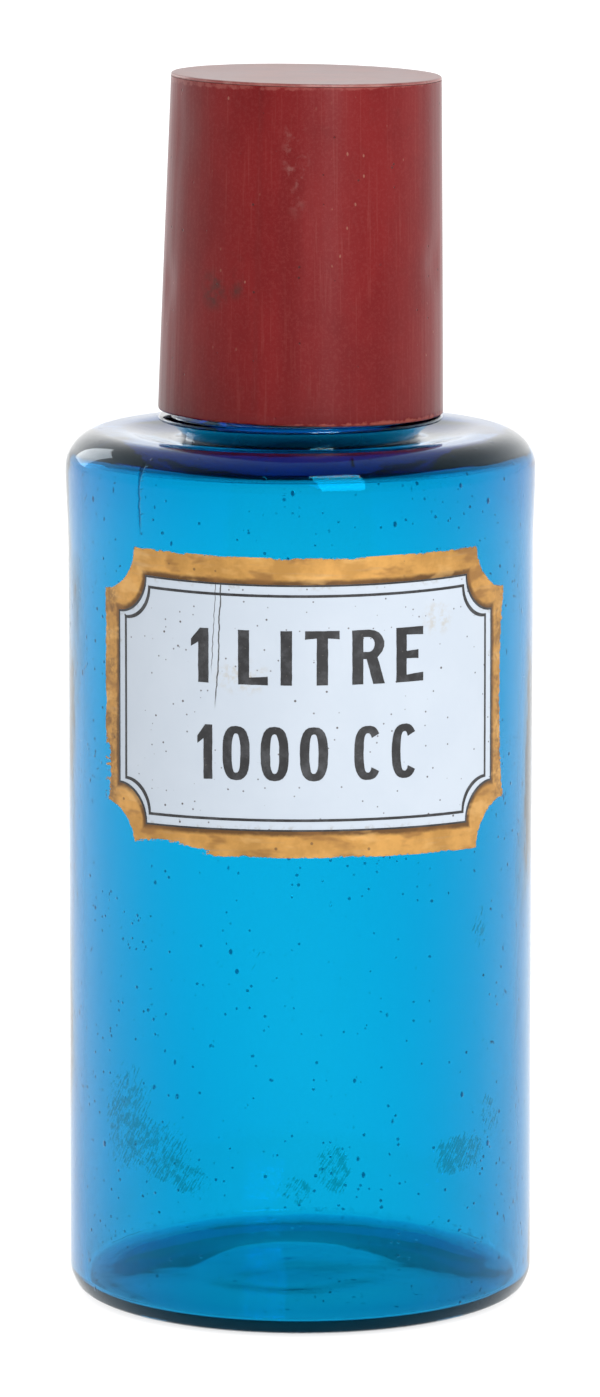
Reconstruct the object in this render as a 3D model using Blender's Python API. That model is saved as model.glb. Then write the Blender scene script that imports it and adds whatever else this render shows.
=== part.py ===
"""Apothecary shelf bottle: blown glass body, ground glass stopper, painted tinplate cap and fired label.

Metres, +Z up. The origin is the centre of the base, on the surface that the bottle stands on.
The label faces -Y, and the stopper and the cap both lift off along +Z.
"""

import math

import bmesh
import bpy

# Driving dimensions
BODY_RADIUS = 0.0483
SHOULDER_RADIUS = 0.0488
HEEL_RADIUS = 0.0484
SHOULDER_START = 0.1740
GLASS_WALL = 0.0030
COLLAR_TOP = 0.1849
NECK_RADIUS = 0.0220
NECK_TOP = 0.2170
MOUTH_RADIUS = 0.0176
CAP_HEIGHT = 0.0696
CAP_RIM_RADIUS = 0.0295
CAP_CROWN_RADIUS = 0.0279
TINPLATE = 0.0006
LABEL_MIDDLE = 0.1305
LABEL_TURN = math.radians(1.8)

GAP = 0.0003  # between pieces that touch
TURNED_STEPS = 48
CAP_STEPS = 72

# Foot and wall of the bottle
PUNT_HEIGHT = 0.0035
PUNT_RADIUS = 0.0380
PUNT_RINGS = (0.0, 0.4, 0.75)  # shares of the punt's radius
HEEL_ROUND = 0.0058
WALL_STRAIGHT_FROM = 0.060
WALL_STRAIGHT_TO = 0.158
FLOOR_EDGE = 0.0044
FLOOR_CROWN = 0.0070
FLOOR_RINGS = ((0.0240, 0.0053), (0.0120, 0.0065))
INNER_HEEL_ROUND = 0.0012

# Shoulder, collar and neck of the bottle
SHOULDER_ROUND = 0.0078
INNER_SHOULDER_ROUND = 0.0022
ROOF_HEIGHT = 0.0028  # of the inside of the shoulder, above the shoulder's start
MOAT_RADIUS = 0.0268
MOAT_HEIGHT = 0.1797
MOAT_SLOPE_HEIGHT = 0.0073  # halfway into the moat, above the shoulder's start
NECK_ROOT_RADIUS = 0.0246
NECK_ROOT_RISE = 0.0008
COLLAR_RADIUS = 0.0292
COLLAR_ROUND = 0.0005
SPIGOT_RADIUS = 0.0268
SPIGOT_HEIGHT = 0.0024
SPIGOT_TAPER = 0.0043
LIP_RADIUS = 0.0240
LIP_HEIGHT = 0.0060
LIP_ROUND = 0.0012
LIP_UNDERCUT = 0.0015
GROUND_DEPTH = 0.0240
GROUND_TAPER = 0.0014
BELL_RADIUS = 0.0180
BELL_SPREAD = 0.0016
BELL_TOP_DEPTH = 0.0015  # below the collar's top
BELL_FOOT_DEPTH = 0.0072
BELL_MOUTH_RADIUS = 0.0258

# Stopper
PLUG_DEPTH = 0.0230
PLUG_CHAMFER = 0.0008
WAIST_RADIUS = 0.0125
WAIST_FLARE = 0.0015
WAIST_FOOT = 0.0008
WAIST_HEIGHT = 0.0030
HEAD_RADIUS = 0.0215
HEAD_HEIGHT = 0.0190
HEAD_ROUND = 0.0045
HEAD_UNDERSIDE = 0.0035  # inset of the underside's edge
CROWN_DROP = 0.0035  # from the crown down to the round of the head
CROWN_RADIUS = 0.0100
CROWN_EDGE_DROP = 0.0006

# Cap
HEM_HEIGHT = 0.0050
HEM_THICKNESS = 0.0012
SEAM_ANGLE = math.radians(-19)
SEAM_WIDTH = math.radians(12)
SEAM_STEP = 0.0003
FLANGE_HEIGHT = 0.0035
RIM_BEND = 0.0004
CROWN_ROUND = 0.0003
SOLDER_LEG = 0.0012

# Label: each sheet is a rectangle with a concave quarter round cut from each corner
LABEL_LIFT = 0.0003
ENAMEL_THICKNESS = 0.00015
LABEL_COLUMNS = 25
CORNER_STEPS = 6
GILDING = {"half_width": 0.0485, "half_height": 0.0307, "corner": 0.0094}
PANEL = {"half_width": 0.0436, "half_height": 0.0252, "corner": 0.0078}
BORDER = {"half_width": 0.0417, "half_height": 0.0232, "corner": 0.0067}
BORDER_WIDTH = 0.0005


def clear_scene():
    for obj in list(bpy.data.objects):
        bpy.data.objects.remove(obj, do_unlink=True)


def material(name, color, roughness, metallic=0.0, transmission=0.0):
    made = bpy.data.materials.new(name)
    made.use_nodes = True
    shader = made.node_tree.nodes["Principled BSDF"]
    shader.inputs["Base Color"].default_value = (*color, 1.0)
    shader.inputs["Roughness"].default_value = roughness
    shader.inputs["Metallic"].default_value = metallic
    shader.inputs["Transmission Weight"].default_value = transmission
    return made


def arc(center_r, center_z, radius, start_deg, end_deg, steps):
    """Points (r, z) along a round stretch of a profile, both ends included."""
    angles = [math.radians(start_deg + (end_deg - start_deg) * i / steps) for i in range(steps + 1)]
    return [(center_r + radius * math.cos(a), center_z + radius * math.sin(a)) for a in angles]


def add_object(bm, name, finish):
    mesh = bpy.data.meshes.new(name)
    bm.to_mesh(mesh)
    bm.free()
    mesh.shade_smooth()
    mesh.set_sharp_from_angle(angle=math.radians(35))
    mesh.materials.append(finish)
    obj = bpy.data.objects.new(name, mesh)
    bpy.context.scene.collection.objects.link(obj)
    return obj


def turned(name, profile, finish, steps=TURNED_STEPS):
    """Spins a profile of (r, z) points about Z. It closes on itself, or starts and ends on the axis."""
    bm = bmesh.new()
    verts = [bm.verts.new((r, 0.0, z)) for r, z in profile]
    edges = [bm.edges.new(pair) for pair in zip(verts, verts[1:])]
    if profile[0][0] > 0.0:
        edges.append(bm.edges.new((verts[-1], verts[0])))
    bmesh.ops.spin(
        bm, geom=verts + edges, cent=(0, 0, 0), axis=(0, 0, 1),
        angle=math.tau, steps=steps, use_merge=True,
    )
    bmesh.ops.remove_doubles(bm, verts=bm.verts, dist=1e-6)
    bmesh.ops.recalc_face_normals(bm, faces=bm.faces)
    return add_object(bm, name, finish)


def bore_radius(depth):
    """Radius of the ground seat in the neck at a depth below the mouth."""
    return MOUTH_RADIUS - GROUND_TAPER * depth / GROUND_DEPTH


def glass_outside():
    """Outer profile of the bottle, from the centre of the punt up to the lip."""
    punt_sphere = (PUNT_RADIUS**2 + PUNT_HEIGHT**2) / (2 * PUNT_HEIGHT)
    punt = []
    for share in PUNT_RINGS:
        r = share * PUNT_RADIUS
        punt.append((r, math.sqrt(punt_sphere**2 - r**2) - punt_sphere + PUNT_HEIGHT))
    foot = [(PUNT_RADIUS, 0.0)]
    heel = arc(HEEL_RADIUS - HEEL_ROUND, HEEL_ROUND, HEEL_ROUND, -90, 0, 4)
    wall = [(BODY_RADIUS, WALL_STRAIGHT_FROM), (BODY_RADIUS, WALL_STRAIGHT_TO)]
    shoulder = arc(SHOULDER_RADIUS - SHOULDER_ROUND, SHOULDER_START, SHOULDER_ROUND, 0, 88, 5)
    slope_radius = (MOAT_RADIUS + SHOULDER_RADIUS - SHOULDER_ROUND) / 2
    moat = [(slope_radius, SHOULDER_START + MOAT_SLOPE_HEIGHT), (MOAT_RADIUS, MOAT_HEIGHT)]
    flare = [(NECK_ROOT_RADIUS, MOAT_HEIGHT + NECK_ROOT_RISE)]
    rim = arc(COLLAR_RADIUS - COLLAR_ROUND, COLLAR_TOP - COLLAR_ROUND, COLLAR_ROUND, -40, 90, 3)
    spigot_top = COLLAR_TOP + SPIGOT_HEIGHT
    spigot = [(SPIGOT_RADIUS, COLLAR_TOP), (SPIGOT_RADIUS, spigot_top)]
    spigot += [(NECK_RADIUS, spigot_top + SPIGOT_TAPER)]
    lip_foot = NECK_TOP - LIP_HEIGHT
    lip = [(NECK_RADIUS, lip_foot - LIP_UNDERCUT)]
    lip += arc(LIP_RADIUS - LIP_ROUND, lip_foot + LIP_ROUND, LIP_ROUND, -60, 0, 2)
    lip += arc(LIP_RADIUS - LIP_ROUND, NECK_TOP - LIP_ROUND, LIP_ROUND, 0, 90, 3)
    return punt + foot + heel + wall + shoulder + moat + flare + rim + spigot + lip


def glass_inside():
    """Inner profile of the bottle, from the mouth down to the centre of the floor."""
    wall_radius = BODY_RADIUS - GLASS_WALL
    roof_z = SHOULDER_START + ROOF_HEIGHT
    mouth = [(MOUTH_RADIUS, NECK_TOP), (bore_radius(GROUND_DEPTH), NECK_TOP - GROUND_DEPTH)]
    bell = [
        (BELL_RADIUS, COLLAR_TOP - BELL_TOP_DEPTH),
        (BELL_RADIUS + BELL_SPREAD, COLLAR_TOP - BELL_FOOT_DEPTH),
        (BELL_MOUTH_RADIUS, MOAT_HEIGHT - GLASS_WALL),
    ]
    shoulder_round = INNER_SHOULDER_ROUND
    shoulder = arc(wall_radius - shoulder_round, roof_z - shoulder_round, shoulder_round, 84, 0, 4)
    heel_z = FLOOR_EDGE + INNER_HEEL_ROUND
    heel = arc(wall_radius - INNER_HEEL_ROUND, heel_z, INNER_HEEL_ROUND, 0, -84, 4)
    return mouth + bell + shoulder + heel + list(FLOOR_RINGS) + [(0.0, FLOOR_CROWN)]


def make_bottle(finish):
    return turned("bottle_glass", glass_outside() + glass_inside(), finish)


def make_stopper(finish):
    """Ground plug, narrow waist and mushroom head, turned as one solid."""
    plug_bottom = NECK_TOP - PLUG_DEPTH
    head_bottom = NECK_TOP + GAP + WAIST_HEIGHT
    head_top = head_bottom + HEAD_HEIGHT
    end_radius = bore_radius(PLUG_DEPTH) - GAP
    plug = [
        (0.0, plug_bottom),
        (end_radius - PLUG_CHAMFER, plug_bottom),
        (end_radius, plug_bottom + PLUG_CHAMFER),
        (bore_radius(0.0) - GAP, NECK_TOP),
    ]
    waist = [(WAIST_RADIUS + WAIST_FLARE, NECK_TOP + WAIST_FOOT), (WAIST_RADIUS, head_bottom)]
    head = [(HEAD_RADIUS - HEAD_UNDERSIDE, head_bottom + HEAD_ROUND)]
    head += arc(HEAD_RADIUS - HEAD_ROUND, head_top - HEAD_ROUND - CROWN_DROP, HEAD_ROUND, -30, 75, 5)
    crown = [(CROWN_RADIUS, head_top - CROWN_EDGE_DROP), (0.0, head_top)]
    return turned("stopper", plug + waist + head + crown, finish)


def seam_offset(angle):
    """How far the lapped side seam lifts the outside of the cap at an angle from the front."""
    from_seam = angle - SEAM_ANGLE
    if not 0.0 <= from_seam <= SEAM_WIDTH:
        return 0.0
    return SEAM_STEP * (1.0 - from_seam / SEAM_WIDTH)


def make_cap_wall(finish):
    """Rolled tapered tube with a lapped side seam and a rim hemmed to the inside."""
    rim_z = COLLAR_TOP + GAP
    top_z = rim_z + CAP_HEIGHT - TINPLATE - GAP
    hem_radius = CAP_RIM_RADIUS - HEM_THICKNESS
    profile = [
        (CAP_RIM_RADIUS - RIM_BEND, rim_z, 1.0),
        (CAP_RIM_RADIUS, rim_z + RIM_BEND, 1.0),
        (CAP_CROWN_RADIUS, top_z, 1.0),
        (CAP_CROWN_RADIUS - TINPLATE, top_z, 0.0),
        (CAP_RIM_RADIUS - TINPLATE, rim_z + HEM_HEIGHT + RIM_BEND, 0.0),
        (hem_radius, rim_z + HEM_HEIGHT, 0.0),
        (hem_radius, rim_z, 0.0),
    ]
    bm = bmesh.new()
    rings = []
    for step in range(CAP_STEPS):
        angle = SEAM_ANGLE + math.tau * step / CAP_STEPS
        ring = []
        for radius, z, outside in profile:
            r = radius + outside * seam_offset(angle)
            ring.append(bm.verts.new((r * math.sin(angle), -r * math.cos(angle), z)))
        rings.append(ring)
    for ring, following in zip(rings, rings[1:] + rings[:1]):
        for low, high in zip(range(len(profile)), list(range(1, len(profile))) + [0]):
            bm.faces.new((ring[low], ring[high], following[high], following[low]))
    bmesh.ops.recalc_face_normals(bm, faces=bm.faces)
    return add_object(bm, "cap_wall", finish)


def make_cap_top(finish):
    """Flat tinplate disc with a flange turned down inside the wall."""
    top_z = COLLAR_TOP + GAP + CAP_HEIGHT
    under = top_z - TINPLATE
    flange = CAP_CROWN_RADIUS - TINPLATE - GAP
    profile = [(0.0, top_z)]
    profile += arc(CAP_CROWN_RADIUS - CROWN_ROUND, top_z - CROWN_ROUND, CROWN_ROUND, 90, 0, 2)
    profile += [
        (CAP_CROWN_RADIUS, under),
        (flange, under),
        (flange, under - FLANGE_HEIGHT),
        (flange - TINPLATE, under - FLANGE_HEIGHT),
        (flange - TINPLATE, under),
        (0.0, under),
    ]
    return turned("cap_top", profile, finish, CAP_STEPS)


def make_cap_solder(finish):
    """Fillet of solder inside the cap, below the flange of the top."""
    top_z = COLLAR_TOP + CAP_HEIGHT - TINPLATE - FLANGE_HEIGHT
    radius = CAP_CROWN_RADIUS - TINPLATE - GAP
    profile = [
        (radius, top_z),
        (radius - SOLDER_LEG, top_z),
        (radius, top_z - SOLDER_LEG),
    ]
    return turned("cap_top_solder", profile, finish, CAP_STEPS)


def cut_corner_outline(half_width, half_height, corner):
    """Points (x, z) of a rectangle with concave quarter rounds at its corners, anticlockwise."""
    points = []
    for side_x, side_z, start in ((1, 1, 270), (-1, 1, 360), (-1, -1, 90), (1, -1, 180)):
        for step in range(CORNER_STEPS + 1):
            angle = math.radians(start - 90 * step / CORNER_STEPS)
            points.append(
                (
                    side_x * half_width + corner * math.cos(angle),
                    side_z * half_height + corner * math.sin(angle),
                )
            )
    return points


def sheet_edges(bm, outline):
    verts = [bm.verts.new((x, 0.0, z)) for x, z in outline]
    return [bm.edges.new(pair) for pair in zip(verts, verts[1:] + verts[:1])]


def wrap_on_body(bm, inner_radius, half_width):
    """Cuts a flat sheet into columns, gives it thickness and bends it round the body."""
    for column in range(1, LABEL_COLUMNS):
        cut = half_width * (2 * column / LABEL_COLUMNS - 1)
        geometry = bm.verts[:] + bm.edges[:] + bm.faces[:]
        bmesh.ops.bisect_plane(bm, geom=geometry, dist=1e-7, plane_co=(cut, 0, 0), plane_no=(1, 0, 0))
    extruded = bmesh.ops.extrude_face_region(bm, geom=bm.faces[:], use_keep_orig=True)
    lifted = [item for item in extruded["geom"] if isinstance(item, bmesh.types.BMVert)]
    bmesh.ops.translate(bm, verts=lifted, vec=(0, ENAMEL_THICKNESS, 0))
    for vert in bm.verts:
        angle = vert.co.x / BODY_RADIUS + LABEL_TURN
        radius = inner_radius + vert.co.y
        vert.co = (radius * math.sin(angle), -radius * math.cos(angle), vert.co.z + LABEL_MIDDLE)
    bmesh.ops.recalc_face_normals(bm, faces=bm.faces)
    if bm.calc_volume(signed=True) < 0:
        bmesh.ops.reverse_faces(bm, faces=bm.faces)


def make_ring_sheet(name, outer, inner, inner_radius, finish):
    """A frame-shaped layer of the label between two cut-corner outlines."""
    bm = bmesh.new()
    edges = sheet_edges(bm, cut_corner_outline(**outer))
    edges += sheet_edges(bm, cut_corner_outline(**inner))
    bmesh.ops.bridge_loops(bm, edges=edges)
    wrap_on_body(bm, inner_radius, outer["half_width"])
    return add_object(bm, name, finish)


def inset(shape, amount):
    """The same outline drawn in by an amount, with its corner arcs about the same centres."""
    return {
        "half_width": shape["half_width"] - amount,
        "half_height": shape["half_height"] - amount,
        "corner": shape["corner"],
    }


def make_panel(finish, inner_radius):
    bm = bmesh.new()
    edges = sheet_edges(bm, cut_corner_outline(**PANEL))
    bmesh.ops.contextual_create(bm, geom=edges)
    wrap_on_body(bm, inner_radius, PANEL["half_width"])
    return add_object(bm, "label_enamel", finish)


def make_label(gold, white, black):
    ground = BODY_RADIUS + LABEL_LIFT
    print_radius = ground + ENAMEL_THICKNESS + GAP
    window = {key: value + GAP for key, value in PANEL.items()}
    window["corner"] = PANEL["corner"]
    make_ring_sheet("label_gilding", GILDING, window, ground, gold)
    make_panel(white, ground)
    make_ring_sheet("label_border_line", BORDER, inset(BORDER, BORDER_WIDTH), print_radius, black)


def build():
    clear_scene()
    blue_glass = material("blue_glass", (0.0, 0.42, 0.82), 0.03, transmission=1.0)
    red_paint = material("red_paint", (0.24, 0.022, 0.022), 0.38)
    solder = material("solder", (0.52, 0.52, 0.50), 0.45, metallic=1.0)
    gold = material("gilding", (0.66, 0.36, 0.11), 0.35, metallic=0.6)
    white = material("white_enamel", (0.64, 0.72, 0.80), 0.25)
    black = material("black_enamel", (0.02, 0.02, 0.02), 0.35)
    make_bottle(blue_glass)
    make_stopper(blue_glass)
    make_cap_wall(red_paint)
    make_cap_top(red_paint)
    make_cap_solder(solder)
    make_label(gold, white, black)


build()
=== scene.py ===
"""Looks of a pharmacy shelf bottle: blown blue glass, ground stopper, red painted tin cap and a fired label.

Metres, +Z up, the label faces -Y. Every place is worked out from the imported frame's boxes and the sizes below.
"""

import math

import bmesh
import bpy
from mathutils import Matrix, Vector, noise


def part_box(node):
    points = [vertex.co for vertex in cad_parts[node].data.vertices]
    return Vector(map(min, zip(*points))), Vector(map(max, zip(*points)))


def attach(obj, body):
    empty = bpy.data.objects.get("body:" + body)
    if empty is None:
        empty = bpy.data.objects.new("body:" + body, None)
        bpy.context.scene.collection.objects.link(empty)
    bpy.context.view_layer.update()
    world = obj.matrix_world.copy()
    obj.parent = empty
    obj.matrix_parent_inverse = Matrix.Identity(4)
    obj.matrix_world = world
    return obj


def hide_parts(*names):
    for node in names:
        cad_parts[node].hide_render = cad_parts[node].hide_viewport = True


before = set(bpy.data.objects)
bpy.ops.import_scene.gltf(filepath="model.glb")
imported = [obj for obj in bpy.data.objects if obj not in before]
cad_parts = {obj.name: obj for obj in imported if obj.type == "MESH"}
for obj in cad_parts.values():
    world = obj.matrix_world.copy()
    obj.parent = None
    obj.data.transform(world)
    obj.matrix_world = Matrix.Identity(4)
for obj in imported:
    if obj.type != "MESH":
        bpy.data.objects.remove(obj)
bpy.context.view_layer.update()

# Places read from the frame
GLASS_LOW, GLASS_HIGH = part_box("bottle_glass")
RIM_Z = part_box("cap_wall")[0].z
CAP_TOP_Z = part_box("cap_top")[1].z
SOLDER_LOW, SOLDER_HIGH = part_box("cap_top_solder")
STOPPER_LOW, STOPPER_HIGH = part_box("stopper")
PANEL_LOW, PANEL_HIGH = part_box("label_enamel")
LABEL_MIDDLE = (PANEL_LOW.z + PANEL_HIGH.z) / 2
NECK_TOP = GLASS_HIGH.z
SHOULDER_RADIUS = GLASS_HIGH.x
RIM_RADIUS = 0.0295
CROWN_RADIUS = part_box("cap_top")[1].x

# Glass
BODY_RADIUS = 0.0483
HEEL_RADIUS = 0.0484
WALL = 0.0030
COLLAR_TOP = RIM_Z - 0.0003
SHOULDER_START = 0.1740
SHOULDER_ROUND = 0.0078
HEEL_ROUND = 0.0058
PUNT_HEIGHT = 0.0035
PUNT_RADIUS = 0.0380
FLOOR_EDGE = 0.0044
FLOOR_CROWN = 0.0070
FLOOR_TILT = 0.0011
INNER_HEEL_ROUND = 0.0012
INNER_SHOULDER_ROUND = 0.0022
ROOF_HEIGHT = 0.0028
MOUTH_RADIUS = 0.0176
NECK_RADIUS = 0.0220
GLASS_COLUMNS = 160
FOLD_ANGLE = math.radians(-42.2)
FOLD_LOW = 0.1636
FOLD_HIGH = 0.1792

# Label: half sizes measured along the glass, with concave quarter rounds of radius corner
LABEL_TURN = math.radians(1.8)
LABEL_RISE = 0.0002
LABEL_SPREAD = 0.033  # share by which the label is taller at its ends than in its middle
GILDING = {"half_width": 0.0485, "half_height": 0.0307, "corner": 0.0094}
PANEL = {"half_width": 0.0436, "half_height": 0.0252, "corner": 0.0078}
BORDER = {"half_width": 0.0417, "half_height": 0.0232, "corner": 0.0067}
OUTLINE_WIDTH = 0.00036
BORDER_WIDTH = 0.00055
FIGURE_HEIGHT = 0.0111
FIGURE_ROWS = (("1 LITRE", 0.0103, 0.0490), ("1000 CC", -0.0093, 0.0462))
STEM = 0.0021
BAR = 0.0015
LETTER_GAP = 0.0024
WORD_GAP = 0.0058

# Cap
TINPLATE = 0.0006
CAP_COLUMNS = 240
CAP_LEAN = math.radians(1.0)
SEAM_ANGLE = math.radians(-19)
SEAM_WIDTH = math.radians(12)


# ---------------------------------------------------------------- shaders


class Socket:
    """An output of a shader node. Arithmetic on it adds Math nodes."""

    def __init__(self, finish, output):
        self.finish = finish
        self.output = output

    def math(self, operation, *values):
        return self.finish.node("ShaderNodeMath", {"operation": operation}, dict(enumerate(values)))

    def __add__(self, other):
        return self.math("ADD", self, other)

    def __sub__(self, other):
        return self.math("SUBTRACT", self, other)

    def __rsub__(self, other):
        return self.math("SUBTRACT", other, self)

    def __mul__(self, other):
        return self.math("MULTIPLY", self, other)

    def __truediv__(self, other):
        return self.math("DIVIDE", self, other)

    def __pow__(self, other):
        return self.math("POWER", self, other)

    def __abs__(self):
        return self.math("ABSOLUTE", self)

    __radd__ = __add__
    __rmul__ = __mul__

    def smallest(self, other):
        return self.math("MINIMUM", self, other)

    def largest(self, other):
        return self.math("MAXIMUM", self, other)

    def step(self, low, high, start=0.0, end=1.0):
        """Runs smoothly from start to end as this value goes from low to high."""
        sockets = {"Value": self, "From Min": low, "From Max": high, "To Min": start, "To Max": end}
        return self.finish.node("ShaderNodeMapRange", {"interpolation_type": "SMOOTHSTEP"}, sockets)


class Finish:
    """A material being made. node() adds any node; the other methods are short forms of it."""

    def __init__(self, name):
        self.material = bpy.data.materials.new(name)
        self.material.use_nodes = True
        self.tree = self.material.node_tree
        self.tree.nodes.clear()
        self.place = self.node("ShaderNodeTexCoord", output="Object")
        self.x, self.y, self.z = self.parts(self.place)

    def node(self, kind, settings=None, sockets=None, output=0):
        made = self.tree.nodes.new(kind)
        for name, value in (settings or {}).items():
            setattr(made, name, value)
        for name, value in (sockets or {}).items():
            if isinstance(value, Socket):
                self.tree.links.new(value.output, made.inputs[name])
            else:
                made.inputs[name].default_value = value
        return Socket(self, made.outputs[output])

    def parts(self, vector):
        split = self.node("ShaderNodeSeparateXYZ", None, {0: vector}).output.node
        return [Socket(self, output) for output in split.outputs]

    def angle(self):
        """Angle round the bottle from the front, in radians, growing towards +X."""
        return self.x.math("ARCTAN2", self.x, 0.0 - self.y)

    def stretched(self, scale):
        """Object coordinates times a scale for each axis."""
        return self.node("ShaderNodeVectorMath", {"operation": "MULTIPLY"}, {0: self.place, 1: scale})

    def vector(self, x, y, z):
        return self.node("ShaderNodeCombineXYZ", None, {0: x, 1: y, 2: z})

    def noise(self, scale, detail=3.0, roughness=0.55, place=None):
        sockets = {
            "Vector": place or self.place,
            "Scale": scale,
            "Detail": detail,
            "Roughness": roughness,
        }
        return self.node("ShaderNodeTexNoise", None, sockets)

    def dots(self, scale, radius, share, place=None):
        """Small round spots: about this share of the cells of a Voronoi pattern hold one."""
        sockets = {"Vector": place or self.place, "Scale": scale}
        distance = self.node("ShaderNodeTexVoronoi", None, sockets, "Distance")
        picked = self.node("ShaderNodeTexVoronoi", None, sockets, "Color")
        red = self.parts(picked)[0]
        return distance.step(radius, radius * 0.55) * red.step(1 - share, 1 - share + 0.01)

    def mix(self, factor, first, second):
        sockets = {0: factor, 6: first, 7: second}
        return self.node("ShaderNodeMix", {"data_type": "RGBA"}, sockets, 2)

    def bump(self, height, distance, strength=1.0, normal=None):
        sockets = {"Height": height, "Distance": distance, "Strength": strength}
        if normal:
            sockets["Normal"] = normal
        return self.node("ShaderNodeBump", None, sockets)

    def surface(self, sockets, volume=None):
        """Ends the material with a Principled BSDF and, for glass, what fills it."""
        shader = self.node("ShaderNodeBsdfPrincipled", None, sockets)
        ends = {"Surface": shader}
        if volume:
            ends["Volume"] = volume
        end = self.tree.nodes.new("ShaderNodeOutputMaterial")
        for name, value in ends.items():
            self.tree.links.new(value.output, end.inputs[name])
        return self.material


def rgb(red, green, blue):
    return (red, green, blue, 1.0)


GLASS_TINT = rgb(0.0, 0.815, 0.914)


def patch(finish, degrees, height, half_width, half_height):
    """A soft oval mask on the outside of the glass: 1 at its middle, 0 past its edge."""
    across = (finish.angle() - math.radians(degrees)) * (BODY_RADIUS / half_width)
    along = (finish.z - height) / half_height
    reach = (across * across + along * along) ** 0.5
    return reach.step(1.0, 0.35)


def blue_glass():
    f = Finish("blown_blue_glass")
    wave = f.noise(38.0, 1.0, 0.4, f.stretched((1.0, 1.0, 0.45)))
    ripple = f.noise(160.0, 2.0, 0.5, f.stretched((1.0, 1.0, 0.6)))
    seeds = f.dots(150.0, 0.085, 0.45, f.stretched((1.0, 1.0, 0.7)))
    specks = f.dots(300.0, 0.130, 0.22).largest(f.dots(640.0, 0.22, 0.16) * f.noise(45.0, 2.0, 0.5).step(0.50, 0.60))
    around = f.angle() * BODY_RADIUS
    strokes = f.noise(1.0, 3.0, 0.65, f.vector(around * 2400.0 - f.z * 1500.0, f.z * 260.0 + around * 170.0, 0.0))
    crumbs = f.noise(900.0, 3.0, 0.75)
    ragged = f.noise(230.0, 3.0, 0.6)
    grime = patch(f, -47, 0.0430, 0.0120, 0.0180)
    grime = grime.largest(patch(f, -37, 0.0370, 0.0120, 0.0110))
    grime = grime.largest(patch(f, -28, 0.0325, 0.0080, 0.0055))
    grime = grime.largest(patch(f, -1, 0.0310, 0.0055, 0.0055) * 0.9)
    grime = grime.largest(patch(f, 8, 0.0355, 0.0060, 0.0090))
    grime = grime.largest(patch(f, 43, 0.0360, 0.0120, 0.0070) * 1.1)
    grime = grime.largest(patch(f, 54, 0.0430, 0.0060, 0.0080) * 0.85)
    grime = grime.largest(patch(f, 54, 0.0600, 0.0060, 0.0150) * 0.45)
    grime = grime.largest(patch(f, -12, 0.0790, 0.0260, 0.0040) * 0.42)
    grime = grime.largest(patch(f, 50, 0.0830, 0.0050, 0.0080) * 0.75)
    away = (f.x * f.x + f.y * f.y) ** 0.5
    outside = away.step(0.0463, 0.0470)
    scrub = grime * 0.28 + ragged * 0.30 + strokes * 0.75 + crumbs * 0.45
    scrub = scrub.step(0.98, 1.08) * grime.step(0.0, 0.25) * outside
    wander = f.noise(1.0, 3.0, 0.6, f.vector(0.0, 0.0, f.z * 260.0))
    beside = around - FOLD_ANGLE * BODY_RADIUS + (wander - 0.5) * 0.0016
    fold_reach = f.z.step(FOLD_LOW, FOLD_LOW + 0.0040) * f.z.step(FOLD_HIGH, FOLD_HIGH - 0.0008)
    feathers = f.noise(1.0, 2.0, 0.6, f.vector(around * 240.0, 0.0, f.z * 2300.0 - around * 900.0))
    opened = f.z.step(FOLD_HIGH - 0.0045, FOLD_HIGH - 0.0015) * 0.00045
    fold = (abs(beside) - opened * wander).step(0.00042, 0.00012) * fold_reach
    feathers = feathers.step(0.56, 0.66) * abs(beside - 0.0003).step(0.0013, 0.0004) * fold_reach * 0.9
    flaw = fold.largest(feathers) * outside
    marks = seeds.largest(specks * 0.9)
    tint = f.mix(scrub * 0.80, rgb(1.0, 1.0, 1.0), rgb(0.08, 0.32, 0.22))
    tint = f.mix(marks.largest(flaw * 0.9), tint, rgb(0.01, 0.08, 0.14))
    corner = away.step(0.0444, 0.0450) * away.step(0.0462, 0.0456) * f.z.step(0.0080, 0.0066) * f.y.step(-0.012, 0.012)
    crust = (corner * 0.4 + f.noise(520.0, 4.0, 0.7) * 0.7).step(0.76, 0.88) * corner
    tint = f.mix(crust * 0.6, tint, rgb(0.03, 0.20, 0.26))
    top_coat = f.z.step(0.1772, 0.1786) * f.z.step(RIM_Z + 0.002, RIM_Z)
    roughness = scrub * 0.20 + 0.01
    height = wave + ripple * 0.06 + marks * 0.12 - flaw * 0.12
    normal = f.bump(height, 0.0012, 0.45)
    volume = f.node("ShaderNodeVolumeAbsorption", None, {"Color": GLASS_TINT, "Density": 1000.0})
    sockets = {
        "Base Color": tint,
        "Roughness": roughness,
        "IOR": 1.5,
        "Specular Tint": rgb(0.0, 0.5, 0.9),
        "Transmission Weight": 1.0,
        "Coat Weight": top_coat * 0.50,
        "Coat Roughness": 0.04,
        "Normal": normal,
    }
    return f.surface(sockets, volume)


def stopper_glass():
    f = Finish("ground_blue_glass")
    grain = f.noise(2600.0, 2.0, 0.6)
    ground = f.z.step(NECK_TOP + 0.0012, NECK_TOP + 0.0004)
    rings = f.noise(1500.0, 2.0, 0.5, f.stretched((0.05, 0.05, 1.0)))
    wave = f.noise(60.0, 1.0, 0.4)
    roughness = ground * (0.42 + rings * 0.16) + 0.01
    height = ground * (grain * 0.5 + rings * 0.6) + wave * 0.8
    volume = f.node("ShaderNodeVolumeAbsorption", None, {"Color": GLASS_TINT, "Density": 420.0})
    sockets = {
        "Base Color": f.mix(ground * 0.6, rgb(1.0, 1.0, 1.0), rgb(0.80, 0.90, 0.95)),
        "Roughness": roughness,
        "IOR": 1.5,
        "Specular Tint": rgb(0.0, 0.5, 0.9),
        "Transmission Weight": 1.0,
        "Normal": f.bump(height, 0.0003, 0.5),
    }
    return f.surface(sockets, volume)


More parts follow.
